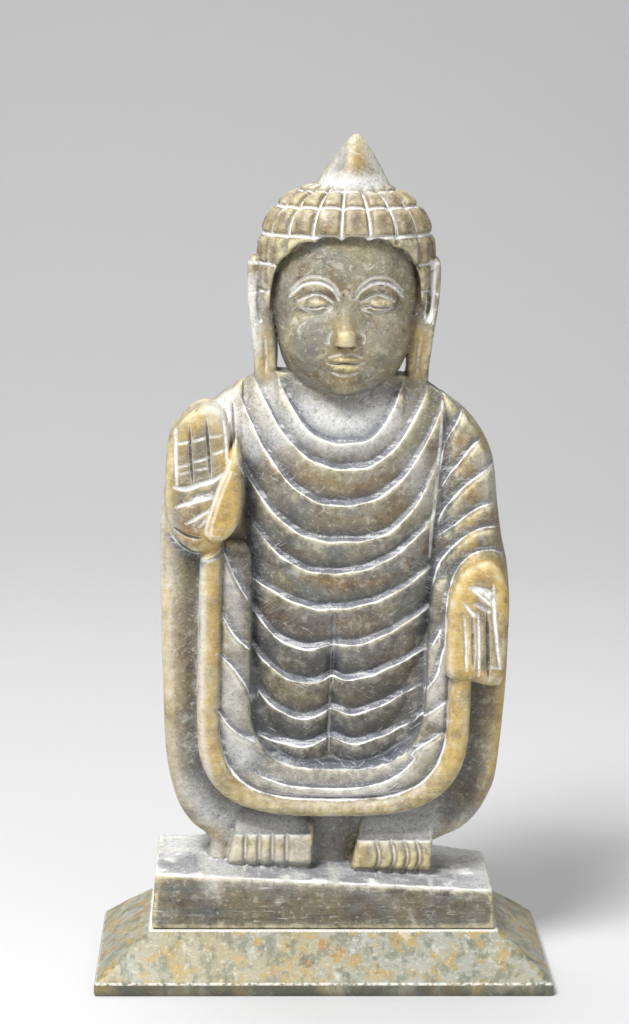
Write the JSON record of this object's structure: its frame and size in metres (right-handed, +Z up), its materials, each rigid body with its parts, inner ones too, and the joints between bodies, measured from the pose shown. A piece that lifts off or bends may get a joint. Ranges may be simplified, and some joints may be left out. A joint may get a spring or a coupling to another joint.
{
  "type": "standing buddha statue",
  "caption": "Standing robed buddha carved in soapstone, right hand raised and left hand lowered, on a stepped block glued to a bevelled plinth",
  "frame": {"origin": "middle of the plinth's underside, on the surface that the statue stands on", "axes": "+Z up, +X to the viewer's right, the figure's face and hands point to -Y"},
  "size_m": [0.11, 0.056, 0.2034],
  "materials": {
    "figure_stone": "carved soapstone, waxed, with pale stone dust left in the cuts",
    "plinth_stone": "sawn and waxed soapstone, mottled green, buff and white"
  },
  "bodies": {
    "root": {"figure": "figure_stone", "plinth": "plinth_stone"}
  },
  "joints": []
}
